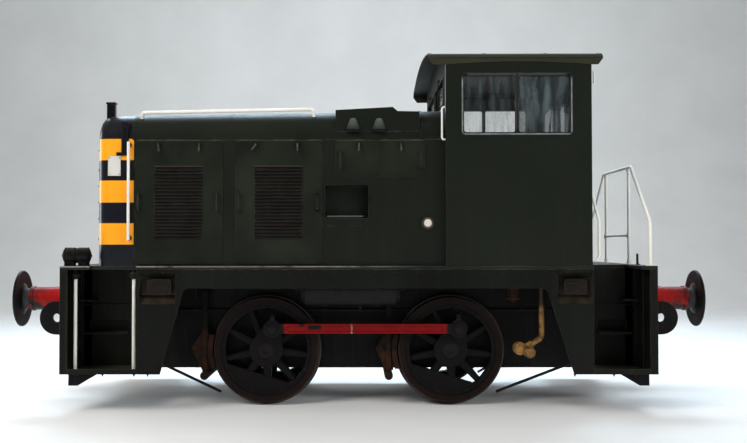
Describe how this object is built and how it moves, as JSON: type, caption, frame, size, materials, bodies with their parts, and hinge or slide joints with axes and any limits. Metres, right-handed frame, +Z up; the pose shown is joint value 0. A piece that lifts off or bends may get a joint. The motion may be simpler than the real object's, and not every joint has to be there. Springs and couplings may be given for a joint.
{
  "type": "four-wheel diesel shunting locomotive",
  "caption": "Small four-wheel diesel shunter: louvred bonnet, rear cab with platform, spoked wheels joined by coupling rods, side buffers.",
  "frame": {"origin": "middle of the locomotive in plan, at the lowest points of the wheel flanges", "axes": "+X towards the cab end, -Y towards the near side of the picture, +Z up"},
  "size_m": [6.687, 2.53, 3.5179],
  "materials": {
    "dark_green_paint": "worn satin dark green paint",
    "black_paint": "dusty satin black paint",
    "roof_paint": "weathered light olive grey paint",
    "cab_lining": "aged cream paint",
    "red_paint": "worn gloss red paint",
    "white_paint": "chipped white paint",
    "grey_paint": "dusty grey paint",
    "ochre_paint": "faded ochre paint",
    "rusty_steel": "rusty steel",
    "greasy_steel": "greasy dark steel",
    "wheel_black": "black paint with rust at the tyre",
    "bright_steel": "oiled machined steel",
    "frame_metal": "dull anodised aluminium",
    "brass": "tarnished brass",
    "window_glass": "dusty glass",
    "seat_wood": "varnished wood"
  },
  "bodies": {
    "root": {"main_frames": "black_paint", "front_headstock": "black_paint", "rear_headstock": "black_paint", "footplate": "black_paint", "front_step_wells": "dark_green_paint", "rear_step_wells": "dark_green_paint", "near_side_valance": "dark_green_paint", "far_side_valance": "dark_green_paint", "sand_boxes": "dark_green_paint", "sand_pipes": "greasy_steel", "guard_brackets": "black_paint", "air_tanks": "grey_paint", "brake_gear": "rusty_steel", "final_drive": "greasy_steel", "feed_pipe": "ochre_paint", "axleboxes": "greasy_steel", "leaf_springs": "rusty_steel", "bonnet_nose": "dark_green_paint", "bonnet_sides": "dark_green_paint", "bonnet_shell": "dark_green_paint", "foot_holds": "dark_green_paint", "near_bonnet_doors": "dark_green_paint", "far_bonnet_doors": "dark_green_paint", "radiator_grille": "black_paint", "bonnet_top_box": "dark_green_paint", "vent_cowls": "dark_green_paint", "cab_front_wall": "dark_green_paint", "cab_rear_wall": "dark_green_paint", "cab_near_side": "dark_green_paint", "cab_far_side": "dark_green_paint", "cab_roof": "roof_paint", "side_window_frames": "frame_metal", "cab_glass": "window_glass", "rear_door_hinges": "bright_steel", "control_desk": "grey_paint", "cab_seats": "seat_wood", "engine_block": "grey_paint", "buffer_stocks": "red_paint", "buffer_heads": "greasy_steel", "tow_eyes": "black_paint", "draw_hooks": "greasy_steel", "coupling_links": "greasy_steel", "bonnet_handrails": "white_paint", "step_handrails": "white_paint", "rear_railing": "white_paint", "cab_grab_rails": "white_paint", "filler_caps": "brass", "platform_drums": "black_paint", "nose_lamp_post": "black_paint", "nose_brackets": "black_paint"},
    "front_wheelset": {"front_wheels": "wheel_black", "front_axle": "greasy_steel"},
    "rear_wheelset": {"rear_wheels": "wheel_black", "rear_axle": "greasy_steel"},
    "near_coupling_rod": {"near_coupling_rod": "red_paint"},
    "far_coupling_rod": {"far_coupling_rod": "red_paint"},
    "cab_rear_door": {"cab_rear_door": "dark_green_paint", "rear_door_glass": "window_glass", "rear_door_handle": "bright_steel", "rear_door_straps": "bright_steel"}
  },
  "joints": [
    {"name": "front_wheelset_spin", "type": "hinge", "parent": "root", "child": "front_wheelset", "pos_m": [-0.9145, 0, 0.548], "axis": [0, 1, 0], "continuous": true},
    {"name": "rear_wheelset_spin", "type": "hinge", "parent": "root", "child": "rear_wheelset", "pos_m": [0.9145, 0, 0.548], "axis": [0, 1, 0], "continuous": true},
    {"name": "near_rod_swing", "type": "hinge", "parent": "front_wheelset", "child": "near_coupling_rod", "pos_m": [-0.84564, -0.908, 0.7664], "axis": [0, 1, 0], "continuous": true},
    {"name": "far_rod_swing", "type": "hinge", "parent": "front_wheelset", "child": "far_coupling_rod", "pos_m": [-0.6961, 0.908, 0.47914], "axis": [0, 1, 0], "continuous": true},
    {"name": "rear_door_swing", "type": "hinge", "parent": "root", "child": "cab_rear_door", "pos_m": [2.1717, -0.304, 2.328], "axis": [0, 0, 1], "range_deg": [0, 90]}
  ],
  "couplings": [
    {"joint": "rear_wheelset_spin", "follows": "front_wheelset_spin", "ratio": 1},
    {"joint": "near_rod_swing", "follows": "front_wheelset_spin", "ratio": -1},
    {"joint": "far_rod_swing", "follows": "front_wheelset_spin", "ratio": -1}
  ]
}
